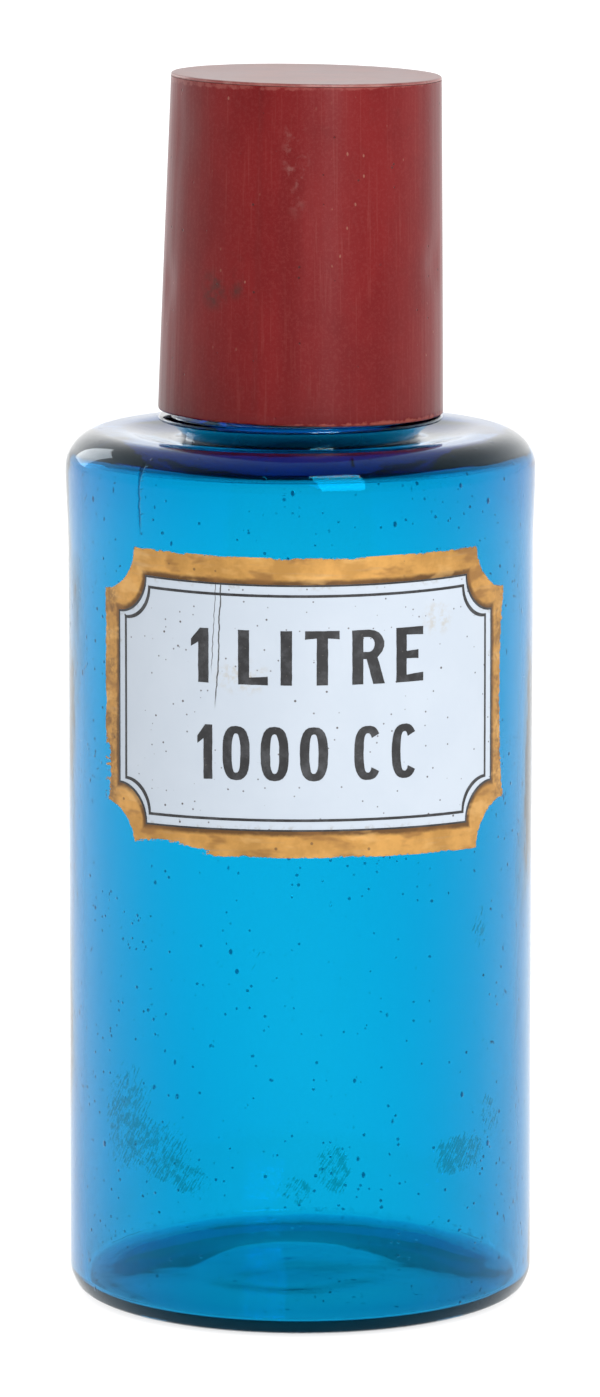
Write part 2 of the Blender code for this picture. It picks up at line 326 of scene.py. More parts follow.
def red_paint():
    f = Finish("red_japanned_tin")
    cloud = f.noise(55.0, 4.0, 0.6, f.stretched((1.0, 1.0, 0.55)))
    streak = f.noise(420.0, 3.0, 0.6, f.stretched((1.0, 1.0, 0.035)))
    mottle = f.noise(230.0, 5.0, 0.65)
    base = f.mix(cloud.step(0.35, 0.68), rgb(0.138, 0.0030, 0.0040), rgb(0.172, 0.0055, 0.0062))
    base = f.mix(streak.step(0.52, 0.75) * 0.14, base, rgb(0.20, 0.014, 0.013))
    base = f.mix(mottle.step(0.58, 0.78) * 0.25, base, rgb(0.10, 0.012, 0.010))
    lines = f.noise(1500.0, 2.0, 0.7, f.stretched((1.0, 1.0, 0.02))).step(0.56, 0.68) * cloud.step(0.40, 0.60)
    base = f.mix(lines * 0.13, base, rgb(0.30, 0.085, 0.070))
    # Painted reflection: a narrow darker vertical band down the front of the cap stands in for the dark front of the
    # room mirrored in the glossy paint.
    dark_reflection_band = patch(f, -4, 0.2200, 0.0060, 0.0420)
    base = f.mix(dark_reflection_band * 0.35, base, rgb(0.110, 0.0030, 0.0035))
    scuffs = patch(f, -2, 0.2395, 0.0060, 0.0130) * mottle.step(0.50, 0.64)
    base = f.mix(scuffs * 0.30, base, rgb(0.33, 0.17, 0.15))
    weave = f.noise(1500.0, 3.0, 0.8)
    base = f.mix(weave.step(0.46, 0.66) * 0.16, base, rgb(0.26, 0.050, 0.045))
    specks = f.dots(620.0, 0.17, 0.12, f.stretched((1.0, 1.0, 0.6))) * cloud.step(0.48, 0.56)
    base = f.mix(specks * 0.40, base, rgb(0.38, 0.18, 0.12))
    pits = f.dots(420.0, 0.14, 0.16)
    base = f.mix(pits * 0.7, base, rgb(0.045, 0.010, 0.009))
    smudge = patch(f, -38, 0.2130, 0.0075, 0.0055).largest(patch(f, -28, 0.2145, 0.0045, 0.0040))
    base = f.mix(smudge * mottle.step(0.35, 0.62) * 0.75, base, rgb(0.050, 0.020, 0.017))
    lip = f.z.step(RIM_Z + 0.0028, RIM_Z + 0.0004)
    worn = (lip * 0.55 + f.noise(700.0, 3.0, 0.7) * 0.6).step(0.72, 0.86)
    base = f.mix(worn * 0.6, base, rgb(0.42, 0.115, 0.080))
    edge = f.z.step(CAP_TOP_Z - 0.0022, CAP_TOP_Z - 0.0004)
    rubbed = (edge * 0.6 + f.noise(520.0, 3.0, 0.7) * 0.6).step(0.80, 0.95)
    base = f.mix(rubbed * 0.35, base, rgb(0.36, 0.12, 0.10))
    roughness = (0.30 + cloud * 0.10) + scuffs * 0.15 - streak * 0.05
    height = streak * 0.5 + mottle * 0.35 - pits * 1.2 + specks * 0.6 - worn * 0.5
    sockets = {
        "Base Color": base,
        "Roughness": roughness,
        "IOR": 1.5,
        "Specular IOR Level": 0.22,
        "Normal": f.bump(height, 0.00018, 0.55),
    }
    return f.surface(sockets)


def reflecting_dusty_top():
    f = Finish("red_japanned_top")
    cloud = f.noise(90.0, 5.0, 0.6)
    mottle = f.noise(420.0, 4.0, 0.7)
    # The top is paler than the wall's paint. Part of this is dust and part is a painted reflection of the bright light
    # from above and behind on the glossy top.
    base = f.mix(cloud.step(0.35, 0.68), rgb(0.20, 0.022, 0.020), rgb(0.30, 0.055, 0.048))
    dust_and_reflection = cloud.step(0.30, 0.75) * 0.35 + mottle.step(0.45, 0.75) * 0.3
    base = f.mix(dust_and_reflection, base, rgb(0.48, 0.33, 0.29))
    pits = f.dots(260.0, 0.13, 0.10)
    base = f.mix(pits * 0.8, base, rgb(0.10, 0.03, 0.025))
    height = mottle * 0.5 - pits
    sockets = {
        "Base Color": base,
        "Roughness": dust_and_reflection * 0.25 + 0.30,
        "IOR": 1.5,
        "Coat Weight": 0.3,
        "Coat Roughness": 0.28,
        "Normal": f.bump(height, 0.00015, 0.5),
    }
    return f.surface(sockets)


def soft_solder():
    f = Finish("soft_solder")
    flow = f.noise(300.0, 4.0, 0.6)
    base = f.mix(flow.step(0.35, 0.7), rgb(0.30, 0.29, 0.27), rgb(0.52, 0.51, 0.49))
    sockets = {
        "Base Color": base,
        "Metallic": 1.0,
        "Roughness": 0.38 + flow * 0.2,
        "Normal": f.bump(flow, 0.0002, 0.6),
    }
    return f.surface(sockets)


def label_place(f):
    """Distance along the glass from the label's middle, across and up."""
    across = (f.angle() - LABEL_TURN) * BODY_RADIUS
    reach = across * (1 / GILDING["half_width"])
    return across, (f.z - LABEL_MIDDLE - LABEL_RISE) / (reach * reach * LABEL_SPREAD + 1)


def from_edge(f, shape):
    """Distance inwards from the edge of a cut-corner outline; negative outside it."""
    across, up = (abs(value) for value in label_place(f))
    side = (shape["half_width"] - across).smallest(shape["half_height"] - up)
    corner_x = shape["half_width"] - across
    corner_z = shape["half_height"] - up
    corner = (corner_x * corner_x + corner_z * corner_z) ** 0.5 - shape["corner"]
    return side.smallest(corner)


def gilding():
    f = Finish("fired_gilding")
    across, up = label_place(f)
    brush = f.noise(1.0, 3.0, 0.6, f.vector(across * 60.0, up * 900.0, 0.0))
    cloud = f.noise(150.0, 4.0, 0.65)
    fine = f.noise(900.0, 3.0, 0.7)
    edge = from_edge(f, GILDING)
    panel = 0.0 - from_edge(f, PANEL)
    base = f.mix(cloud.step(0.35, 0.7), rgb(0.45, 0.230, 0.055), rgb(0.62, 0.325, 0.085))
    base = f.mix(brush.step(0.55, 0.75) * 0.35, base, rgb(0.36, 0.27, 0.17))
    tarnish = (panel.step(0.0026, 0.0) * 0.75 + cloud * 0.5 + fine * 0.15).step(0.70, 1.05)
    base = f.mix(tarnish * 0.9, base, rgb(0.085, 0.038, 0.014))
    smear = f.noise(1.0, 3.0, 0.6, f.vector(across * 90.0, up * 210.0, 3.0))
    base = f.mix(smear.step(0.52, 0.66) * 0.65, base, rgb(0.24, 0.110, 0.032))
    base = f.mix(smear.step(0.46, 0.34) * 0.4, base, rgb(0.74, 0.44, 0.16))
    dirt = abs(across).step(0.0432, 0.0460) * (cloud * 0.7 + fine * 0.5).step(0.52, 0.72)
    base = f.mix(dirt * 0.65, base, rgb(0.10, 0.050, 0.020))
    stains = f.dots(420.0, 0.17, 0.22)
    base = f.mix(stains * 0.7, base, rgb(0.14, 0.075, 0.035))
    rag = (fine - 0.5) * 0.0011 + (cloud - 0.5) * 0.0016
    worn = (edge + rag).step(0.0000, 0.0003)
    lost = patch(f, -35, 0.0985, 0.0175, 0.0056).largest(patch(f, 59.6, 0.1300, 0.0030, 0.0330) * 0.95)
    lost = lost.largest(patch(f, -55, 0.1150, 0.0024, 0.0120) * 0.65)
    lost = lost.largest(patch(f, -30, 0.1580, 0.0150, 0.0010) * 0.3)
    holes = (lost + (brush - 0.5) * 0.9 + (fine - 0.5) * 0.5).step(0.52, 0.60)
    sockets = {
        "Base Color": base,
        "Metallic": 0.55,
        "Roughness": 0.34 + cloud * 0.16,
        "Alpha": worn * (1 - holes),
        "Normal": f.bump(brush * 0.4 + fine * 0.4, 0.00006, 0.5),
    }
    return f.surface(sockets)


def white_enamel():
    f = Finish("fired_white_enamel")
    across, up = label_place(f)
    cloud = f.noise(70.0, 4.0, 0.6)
    fine = f.noise(700.0, 3.0, 0.6)
    base = f.mix(cloud.step(0.35, 0.7), rgb(0.500, 0.562, 0.640), rgb(0.522, 0.582, 0.658))
    stain = patch(f, -14, 0.1370, 0.0075, 0.0045).largest(patch(f, 35, 0.1480, 0.0045, 0.0045))
    base = f.mix(stain * fine.step(0.42, 0.68) * 0.55, base, rgb(0.45, 0.40, 0.32))
    specks = f.dots(340.0, 0.105, 0.50).largest(f.dots(700.0, 0.17, 0.24) * 0.8)
    base = f.mix(specks * 0.9, base, rgb(0.070, 0.050, 0.045))
    edge = from_edge(f, PANEL)
    rubbed = edge.step(0.0016, 0.0) * fine.step(0.5, 0.7)
    base = f.mix(rubbed * 0.5, base, rgb(0.28, 0.24, 0.19))
    crack_x = across + 0.0193 - up * 0.06 + (f.noise(160.0, 3.0, 0.6) - 0.5) * 0.0016
    crack = abs(crack_x).step(0.00022, 0.00006) * up.step(-0.0010, 0.0030)
    crack = crack.largest(abs(crack_x + 0.0012).step(0.00012, 0.00003) * up.step(0.0060, 0.0100))
    base = f.mix(crack * 0.95, base, rgb(0.030, 0.026, 0.024))
    sockets = {
        "Base Color": base,
        "Roughness": 0.24 + fine * 0.03,
        "IOR": 1.5,
        "Coat Weight": 0.2,
        "Normal": f.bump(fine * 0.3 - specks - crack, 0.00008, 0.5),
    }
    return f.surface(sockets)


def black_enamel():
    f = Finish("fired_black_enamel")
    cloud = f.noise(260.0, 4.0, 0.7)
    fine = f.noise(1500.0, 3.0, 0.7)
    base = f.mix(cloud.step(0.42, 0.72), rgb(0.012, 0.012, 0.014), rgb(0.050, 0.052, 0.058))
    chips = fine.step(0.66, 0.74)
    base = f.mix(chips * 0.5, base, rgb(0.22, 0.20, 0.17))
    sockets = {
        "Base Color": base,
        "Roughness": 0.30 + cloud * 0.15,
        "IOR": 1.5,
        "Normal": f.bump(fine, 0.00005, 0.5),
    }
    return f.surface(sockets)


# ---------------------------------------------------------------- shapes


def arc(center_r, center_z, radius, start_deg, end_deg, steps):
    """Points (r, z) along a round stretch of a profile, both ends included."""
    angles = [math.radians(start_deg + (end_deg - start_deg) * i / steps) for i in range(steps + 1)]
    return [(center_r + radius * math.cos(a), center_z + radius * math.sin(a)) for a in angles]


def eased(value):
    value = min(max(value, 0.0), 1.0)
    return value * value * (3 - 2 * value)


def flowing(points, steps):
    """A smooth curve through a few (r, z) points, without its last one."""
    ends = [points[0], *points, points[-1]]
    path = []
    for before, start, end, after in zip(ends, ends[1:], ends[2:], ends[3:]):
        for step in range(steps):
            t = step / steps
            path.append(
                tuple(
                    0.5 * (2 * b + (c - a) * t + (2 * a - 5 * b + 4 * c - d) * t**2 + (3 * b - a - 3 * c + d) * t**3)
                    for a, b, c, d in zip(before, start, end, after)
                )
            )
    return path


def wall_radius(z):
    """Outer radius of the bottle's straight wall at a height."""
    heel = (HEEL_RADIUS - BODY_RADIUS) * (1 - eased(z / 0.060))
    shoulder = (SHOULDER_RADIUS - BODY_RADIUS) * eased((z - 0.158) / (SHOULDER_START - 0.158))
    return BODY_RADIUS + heel + shoulder


def unevenness(x, y, z, seed):
    """Smooth bulging of hand-blown glass, from -1 to 1."""
    return noise.noise(Vector((x * 24 + seed, y * 24, z * 11 - seed)))


def blown(co, inner):
    """Moves a point of the turned glass, or of the label on it, to where the uneven glass puts it."""
    radius = math.hypot(co.x, co.y)
    if radius < 1e-6:
        return co
    body = eased((0.182 - co.z) / 0.010) * eased(radius / 0.030) * eased(co.z / 0.004)
    shift = 0.00016 * body * unevenness(co.x, co.y, co.z, 0.0)
    if inner:
        shift += 0.00022 * body * eased(co.z / 0.020) * unevenness(co.x, co.y, co.z, 5.0)
    scale = (radius + shift) / radius
    return Vector((co.x * scale, co.y * scale, co.z))


def finished(bm, name, body, finish, slot, *nodes):
    """Makes the mesh an object that rides on a body, stands for CAD nodes and shows a material."""
    mesh = bpy.data.meshes.new(name)
    bm.to_mesh(mesh)
    bm.free()
    mesh.shade_smooth()
    mesh.set_sharp_from_angle(angle=math.radians(40))
    mesh.materials.append(finish)
    piece = bpy.data.objects.new(name, mesh)
    bpy.context.scene.collection.objects.link(piece)
    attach(piece, body)
    if nodes:
        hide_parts(*nodes)
    return piece


def turned(profile, steps):
    """A bmesh of a profile of (r, z) points spun about Z. It is closed, or starts and ends on the axis."""
    bm = bmesh.new()
    verts = [bm.verts.new((r, 0.0, z)) for r, z in profile]
    edges = [bm.edges.new(pair) for pair in zip(verts, verts[1:])]
    if profile[0][0] > 0.0:
        edges.append(bm.edges.new((verts[-1], verts[0])))
    bmesh.ops.spin(
        bm, geom=verts + edges, cent=(0, 0, 0), axis=(0, 0, 1),
        angle=math.tau, steps=steps, use_merge=True,
    )
    bmesh.ops.remove_doubles(bm, verts=bm.verts, dist=1e-6)
    bmesh.ops.recalc_face_normals(bm, faces=bm.faces)
    return bm


def glass_outside():
    sphere = (PUNT_RADIUS**2 + PUNT_HEIGHT**2) / (2 * PUNT_HEIGHT)
    punt = []
    for step in range(12):
        r = (PUNT_RADIUS - 0.0015) * step / 11
        punt.append((r, math.sqrt(sphere**2 - r**2) - sphere + PUNT_HEIGHT))
    foot = [(PUNT_RADIUS + 0.0006, 0.00008), (PUNT_RADIUS + 0.0016, 0.0), (0.0410, 0.0)]
    heel = arc(HEEL_RADIUS - HEEL_ROUND, HEEL_ROUND, HEEL_ROUND, -90, 0, 12)
    heights = [HEEL_ROUND + (SHOULDER_START - HEEL_ROUND) * step / 44 for step in range(1, 44)]
    wall = [(wall_radius(z), z) for z in heights]
    shoulder = arc(SHOULDER_RADIUS - SHOULDER_ROUND, SHOULDER_START, SHOULDER_ROUND, 0, 84, 16)
    neck_root = 0.0246
    dip = flowing(
        [
            shoulder[-1],
            (0.0365, SHOULDER_START + 0.0077),
            (0.0300, 0.1803),
            (0.0264, 0.1798),
            (neck_root, 0.1805),
            (0.0252, 0.1816),
            (0.0270, 0.1831),
            (0.0290, 0.1842),
        ],
        5,
    )[1:]
    rim = arc(0.0289, COLLAR_TOP - 0.0005, 0.0005, -40, 90, 5)
    spigot = [(0.0268, COLLAR_TOP), (0.0268, COLLAR_TOP + 0.0020)]
    spigot += flowing([(0.0264, COLLAR_TOP + 0.0028), (0.0232, 0.1905), (NECK_RADIUS, 0.1940)], 5)
    lip_low = NECK_TOP - 0.0060
    throat = [(NECK_RADIUS, 0.1960), (NECK_RADIUS, lip_low - 0.0015)]
    lip = arc(0.0226, lip_low + 0.0014, 0.0014, -60, 0, 4) + arc(0.0226, NECK_TOP - 0.0014, 0.0014, 0, 90, 6)
    return punt + foot + heel + wall + shoulder + dip + rim + spigot + throat + lip


def glass_inside():
    inner = BODY_RADIUS - WALL
    mouth = arc(MOUTH_RADIUS + 0.0008, NECK_TOP - 0.0008, 0.0008, 90, 180, 4)
    seat = [(0.0162, NECK_TOP - 0.0240)]
    bell = flowing([(0.0164, 0.1900), (0.0168, 0.1850), (0.0186, 0.1800), (0.0250, 0.1767), (0.0340, 0.1767)], 6)
    top = SHOULDER_START + ROOF_HEIGHT - INNER_SHOULDER_ROUND
    shoulder = arc(inner - INNER_SHOULDER_ROUND, top, INNER_SHOULDER_ROUND, 84, 0, 8)
    bottom = FLOOR_EDGE + INNER_HEEL_ROUND
    wall = [(inner, top + (bottom - top) * step / 40) for step in range(1, 40)]
    heel = arc(inner - INNER_HEEL_ROUND, bottom, INNER_HEEL_ROUND, 0, -84, 6)
    floor = flowing([heel[-1], (0.0300, 0.0048), (0.0194, 0.0053)], 4)[1:]
    floor += flowing([(0.0190, 0.00535), (0.0100, 0.0061), (0.0, FLOOR_CROWN - 0.0006)], 5)
    return mouth + seat + bell + shoulder + wall + heel + floor + [(0.0, FLOOR_CROWN - 0.0006)]


def make_glass(finish):
    outside = glass_outside()
    bm = turned(outside + glass_inside(), GLASS_COLUMNS)
    limit = BODY_RADIUS - 0.5 * WALL
    for vert in bm.verts:
        radius = math.hypot(vert.co.x, vert.co.y)
        inner = radius < limit and FLOOR_EDGE < vert.co.z < 0.1780
        vert.co = blown(vert.co, inner)
        if radius < limit + 0.0010 and 0.5 * FLOOR_EDGE < vert.co.z < 0.0100:
            vert.co.z += FLOOR_TILT * vert.co.y / limit
            vert.co.x -= 0.0030 * eased(1 - radius / limit)
    return finished(bm, "blown_bottle", "bottle", finish, "blue_glass", "bottle_glass")


def make_stopper(finish):
    low, high = STOPPER_LOW.z, STOPPER_HIGH.z
    plug_end = 0.0162 + (low - (NECK_TOP - 0.024)) * 0.0014 / 0.024 - 0.0003
    plug = [(0.0, low), (plug_end - 0.0008, low), (plug_end - 0.0003, low + 0.0002), (plug_end, low + 0.0008)]
    plug += [(MOUTH_RADIUS - 0.0003, NECK_TOP)]
    waist = flowing([(0.0160, NECK_TOP + 0.0008), (0.0130, NECK_TOP + 0.0022), (0.0128, 0.2203), (0.0178, 0.2243)], 5)
    head = arc(0.0170, high - 0.0080, 0.0045, -35, 75, 12)
    crown = flowing([head[-1], (0.0110, high - 0.0007), (0.0, high)], 6)[1:]
    bm = turned(plug + waist + head + crown + [(0.0, high)], 96)
    return finished(bm, "ground_stopper", "stopper", finish, "stopper_glass", "stopper")


def seam_lift(angle):
    """How far the lapped side seam lifts the tin at an angle from the front."""
    past = (angle - SEAM_ANGLE) / SEAM_WIDTH
    return 0.0003 * (1 - past) if 0.0 <= past <= 1.0 else 0.0


DENTS = (
    # angle in degrees, height, half width in metres along the tin, half height, depth
    (68, 0.2170, 0.0040, 0.0045, 0.00045),
    (-72, 0.2120, 0.0030, 0.0050, 0.00040),
    (-62, 0.2430, 0.0050, 0.0060, 0.00030),
    (150, 0.2300, 0.0080, 0.0070, 0.00060),
    (20, 0.2270, 0.0120, 0.0140, 0.00025),
)


def battered(co):
    """Moves a point of the cap's tin: dents and slight flats from rolling."""
    angle = math.atan2(co.x, -co.y)
    radius = math.hypot(co.x, co.y)
    shift = 0.00012 * noise.noise(Vector((math.sin(angle) * 2.2, math.cos(angle) * 2.2, co.z * 12)))
    shift += 0.00007 * noise.noise(Vector((math.sin(angle) * 9, math.cos(angle) * 9, co.z * 6)))
    for degrees, height, half_width, half_height, depth in DENTS:
        turn = math.remainder(angle - math.radians(degrees), math.tau)
        reach = (turn * radius / half_width) ** 2 + ((co.z - height) / half_height) ** 2
        shift -= depth * math.exp(-reach)
    scale = (radius + shift) / radius if radius > 1e-6 else 1.0
    return Vector((co.x * scale, co.y * scale, co.z))


def lean(bm):
    """Tips the loose cap to the right about the rim's lowest point."""
    pivot = Vector((RIM_RADIUS, 0.0, RIM_Z))
    tip = Matrix.Translation(pivot) @ Matrix.Rotation(CAP_LEAN, 4, "Y") @ Matrix.Translation(-pivot)
    bmesh.ops.transform(bm, matrix=tip, verts=bm.verts)


def make_cap_wall(finish):
    top = CAP_TOP_Z - TINPLATE - 0.00004
    hem_top = RIM_Z + 0.0050
    rows = 36
    outside = arc(RIM_RADIUS - 0.0004, RIM_Z + 0.0004, 0.0004, -90, 0, 4)
    for step in range(1, rows + 1):
        share = step / rows
        outside.append(
            (RIM_RADIUS + (CROWN_RADIUS - RIM_RADIUS) * share, RIM_Z + 0.0004 + (top - RIM_Z - 0.0004) * share)
        )
    inside = []
    for step in range(13):
        share = step / 12
        inside.append(
            (
                CROWN_RADIUS - TINPLATE + (RIM_RADIUS - CROWN_RADIUS) * 0.93 * share,
                top + (hem_top + 0.0004 - top) * share,
            )
        )
    hem = [(RIM_RADIUS - 0.0011, hem_top), (RIM_RADIUS - 0.0012, hem_top - 0.0004), (RIM_RADIUS - 0.0012, RIM_Z + 0.0003)]
    bm = turned(outside + inside + hem, CAP_COLUMNS)
    for vert in bm.verts:
        angle = math.atan2(vert.co.x, -vert.co.y)
        radius = math.hypot(vert.co.x, vert.co.y)
        share = (vert.co.z - RIM_Z) / (top - RIM_Z)
        outer = radius > RIM_RADIUS - 0.0003 + (CROWN_RADIUS - RIM_RADIUS) * share
        vert.co = battered(vert.co)
        if outer:
            scale = 1 + seam_lift(angle) / radius
            vert.co.x *= scale
            vert.co.y *= scale
        near_rim = eased(1 - (vert.co.z - RIM_Z) / 0.006)
        vert.co.z += 0.00035 * near_rim * max(0.0, noise.noise(Vector((vert.co.x * 90, vert.co.y * 90, 3.0))))
    lean(bm)
    return finished(bm, "tin_cap_wall", "cap", finish, "red_paint", "cap_wall")


def make_cap_top(finish):
    under = CAP_TOP_Z - TINPLATE
    flange = CROWN_RADIUS - TINPLATE - 0.0003
    profile = []
    for step in range(14):
        r = (CROWN_RADIUS - 0.0004) * step / 14
        profile.append((r, CAP_TOP_Z - 0.00025 * (1 - (r / CROWN_RADIUS) ** 4)))
    profile += arc(CROWN_RADIUS - 0.0004, CAP_TOP_Z - 0.0004, 0.0004, 90, -20, 6)
    profile += [
        (CROWN_RADIUS - 0.0003, under),
        (flange, under),
        (flange, under - 0.0035),
        (flange - TINPLATE, under - 0.0035),
        (flange - TINPLATE, under - 0.0002),
        (0.0, under - 0.0003),
    ]
    bm = turned(profile, CAP_COLUMNS)
    for vert in bm.verts:
        radius = math.hypot(vert.co.x, vert.co.y)
        vert.co = battered(vert.co)
        vert.co.z += 0.00022 * noise.noise(Vector((vert.co.x * 60, vert.co.y * 60, 1.0))) * (1 - radius / CROWN_RADIUS)
    lean(bm)
    return finished(bm, "tin_cap_top", "cap", finish, "red_paint", "cap_top")


def make_solder(finish):
    """A hand-run bead of solder in the corner below the flange."""
    leg = SOLDER_HIGH.z - SOLDER_LOW.z
    radius = SOLDER_HIGH.x
    profile = [(radius, SOLDER_HIGH.z), (radius - leg, SOLDER_HIGH.z)]
    profile += [(radius - 0.75 * leg, SOLDER_HIGH.z - 0.35 * leg), (radius - 0.35 * leg, SOLDER_HIGH.z - 0.75 * leg)]
    profile += [(radius, SOLDER_LOW.z)]
    bm = turned(profile, 120)
    for vert in bm.verts:
        inward = radius - math.hypot(vert.co.x, vert.co.y)
        swell = 1 + 0.02 * inward / leg * noise.noise(Vector((vert.co.x * 220, vert.co.y * 220, vert.co.z * 50)))
        vert.co.x *= swell
        vert.co.y *= swell
    lean(bm)
    return finished(bm, "solder_bead", "cap", finish, "solder", "cap_top_solder")


def cut_corner_outline(half_width, half_height, corner):
    """Points (x, z) of a rectangle with concave quarter rounds at its corners, anticlockwise."""
    points = []
    for side_x, side_z, start in ((1, 1, 270), (-1, 1, 360), (-1, -1, 90), (1, -1, 180)):
        for step in range(15):
            angle = math.radians(start - 90 * step / 14)
            points.append(
                (
                    side_x * half_width + corner * math.cos(angle),
                    side_z * half_height + corner * math.sin(angle),
                )
            )
    return points


def drawn_in(shape, amount):
    """The same outline drawn in by an amount."""
    return {
        "half_width": shape["half_width"] - amount,
        "half_height": shape["half_height"] - amount,
        "corner": shape["corner"],
    }


def outline_edges(bm, shape):
    verts = [bm.verts.new((x, 0.0, z)) for x, z in cut_corner_outline(**shape)]
    return [bm.edges.new(pair) for pair in zip(verts, verts[1:] + verts[:1])]


def wrapped(bm, lift, thickness):
    """Cuts a flat sheet into a grid, gives it thickness and lays it round the uneven glass."""
    for axis, reach, count in ((0, GILDING["half_width"], 64), (2, GILDING["half_height"], 12)):
        normal = Vector((axis == 0, 0, axis == 2))
        for index in range(1, count):
            cut = normal * (reach * (2 * index / count - 1))
            geometry = bm.verts[:] + bm.edges[:] + bm.faces[:]
            bmesh.ops.bisect_plane(bm, geom=geometry, dist=1e-7, plane_co=cut, plane_no=normal)
    extruded = bmesh.ops.extrude_face_region(bm, geom=bm.faces[:], use_keep_orig=True)
    raised = [item for item in extruded["geom"] if isinstance(item, bmesh.types.BMVert)]
    bmesh.ops.translate(bm, verts=raised, vec=(0, thickness, 0))
    for vert in bm.verts:
        angle = vert.co.x / BODY_RADIUS + LABEL_TURN
        spread = 1 + LABEL_SPREAD * (vert.co.x / GILDING["half_width"]) ** 2
        z = vert.co.z * spread + LABEL_MIDDLE + LABEL_RISE
        radius = wall_radius(z)
        ground = blown(Vector((radius * math.sin(angle), -radius * math.cos(angle), z)), False)
        out = Vector((ground.x, ground.y, 0)).normalized()
        vert.co = ground + out * (lift + vert.co.y)
    bmesh.ops.recalc_face_normals(bm, faces=bm.faces)
    if bm.calc_volume(signed=True) < 0:
        bmesh.ops.reverse_faces(bm, faces=bm.faces)


def make_frame(name, outer, inner, lift, thickness, finish, slot, *nodes):
    bm = bmesh.new()
    edges = outline_edges(bm, outer) + outline_edges(bm, inner)
    bmesh.ops.bridge_loops(bm, edges=edges)
    wrapped(bm, lift, thickness)
    return finished(bm, name, "bottle", finish, slot, *nodes)


def make_panel(finish):
    bm = bmesh.new()
    edges = outline_edges(bm, PANEL)
    bmesh.ops.contextual_create(bm, geom=edges)
    wrapped(bm, 0.00005, 0.00010)
    return finished(bm, "enamel_panel", "bottle", finish, "white_enamel", "label_enamel")


def rounded(width, inset_x, inset_z, start_deg, end_deg, steps):
    """Points along a tall rounded figure, such as a 0, drawn in from its outer outline."""
    points = []
    for step in range(steps + 1):
        angle = math.radians(start_deg + (end_deg - start_deg) * step / steps)
        reach_x = math.copysign(abs(math.cos(angle)) ** 0.75, math.cos(angle)) * (width / 2 - inset_x)
        reach_z = math.copysign(abs(math.sin(angle)) ** 0.75, math.sin(angle)) * (FIGURE_HEIGHT / 2 - inset_z)
        points.append((width / 2 + reach_x, FIGURE_HEIGHT / 2 + reach_z))
    return points


def letter(name):
    """Width and outlines (x, z) of a bold narrow capital or figure; a second outline is a hole."""
    top = FIGURE_HEIGHT
    middle = top / 2
    if name == "1":
        flag = top - 0.0024
        return 0.0036, [[
            (0.0036 - STEM, 0), (0.0036, 0), (0.0036, top), (0.0036 - 0.8 * STEM, top),
            (0, flag), (0, flag - BAR), (0.0036 - STEM, flag - 0.3 * BAR),
        ]]
    if name == "I":
        return STEM, [[(0, 0), (STEM, 0), (STEM, top), (0, top)]]
    if name == "L":
        width = 0.0056
        return width, [[(0, 0), (width, 0), (width, 1.15 * BAR), (STEM, BAR), (STEM, top), (0, top)]]
    if name == "T":
        width = 0.0064
        left, right = (width - STEM) / 2, (width + STEM) / 2
        return width, [[
            (left, 0), (right, 0), (right, top - BAR), (width, top - 1.15 * BAR), (width, top),
            (0, top), (0, top - 1.15 * BAR), (left, top - BAR),
        ]]
    if name == "E":
        width = 0.0056
        arm = 0.82 * width
        return width, [[
            (0, 0), (width, 0), (width, 1.15 * BAR), (STEM, BAR), (STEM, middle - BAR / 2),
            (arm, middle - 0.6 * BAR), (arm, middle + 0.6 * BAR), (STEM, middle + BAR / 2),
            (STEM, top - BAR), (width, top - 1.15 * BAR), (width, top), (0, top),
        ]]
    if name == "R":
        width = 0.0062
        bowl = 0.27 * top
        centre = (width - bowl, top - bowl)
        turn = [math.radians(-90 + 20 * step) for step in range(10)]
        outer = [(centre[0] + bowl * math.cos(a), centre[1] + bowl * math.sin(a)) for a in turn]
        inner_x, inner_z = bowl - 0.9 * STEM, bowl - BAR
        inner = [(centre[0] + inner_x * math.cos(a), centre[1] + inner_z * math.sin(a)) for a in turn]
        foot = top - 2 * bowl
        leg = [(STEM, 0), (STEM, foot), (0.44 * width, foot), (width - 1.05 * STEM, 0), (width + 0.0001, 0)]
        return width, [
            [(0, 0), *leg, (0.44 * width + STEM, foot + 0.0003), *outer[2:], (0, top)],
            [(STEM, foot + BAR), *inner, (STEM, top - BAR)],
        ]
    if name == "0":
        width = 0.0062
        return width, [rounded(width, 0, 0, 0, 345, 23), rounded(width, STEM, BAR, 0, 345, 23)]
    width = 0.0062
    return width, [rounded(width, 0, 0, 38, 322, 24) + rounded(width, STEM, BAR, 318, 42, 24)]


def hand_drawn(outline):
    """The outline with its sides cut into short lengths that wander a little."""
    points = []
    for start, end in zip(outline, outline[1:] + outline[:1]):
        count = max(1, round(math.dist(start, end) / 0.0007))
        for step in range(count):
            x = start[0] + (end[0] - start[0]) * step / count
            z = start[1] + (end[1] - start[1]) * step / count
            shift = noise.noise_vector(Vector((x * 700, 0.0, z * 700))) * 0.00007
            points.append((x + shift.x, z + shift.z))
    return points


def make_figures(finish):
    """The capacity in two rows of bold capitals and figures, spaced out to each row's width."""
    bm = bmesh.new()
    for text, middle, width in FIGURE_ROWS:
        placed = []
        reach = 0.0
        for name in text:
            if name == " ":
                reach += WORD_GAP - LETTER_GAP
                continue
            advance, outlines = letter(name)
            placed.append((reach, outlines))
            reach += advance + LETTER_GAP
        squeeze = width / (reach - LETTER_GAP)
        for start, outlines in placed:
            edges = []
            for outline in outlines:
                shifted = [
                    ((x + start) * squeeze - width / 2, z + middle - FIGURE_HEIGHT / 2) for x, z in outline
                ]
                verts = [bm.verts.new((x, 0.0, z)) for x, z in hand_drawn(shifted)]
                edges += [bm.edges.new(pair) for pair in zip(verts, verts[1:] + verts[:1])]
            bmesh.ops.triangle_fill(bm, edges=edges, use_beauty=False, normal=(0, -1, 0))
    wrapped(bm, 0.00016, 0.00003)
    return finished(bm, "enamel_figures", "bottle", finish, "black_enamel")


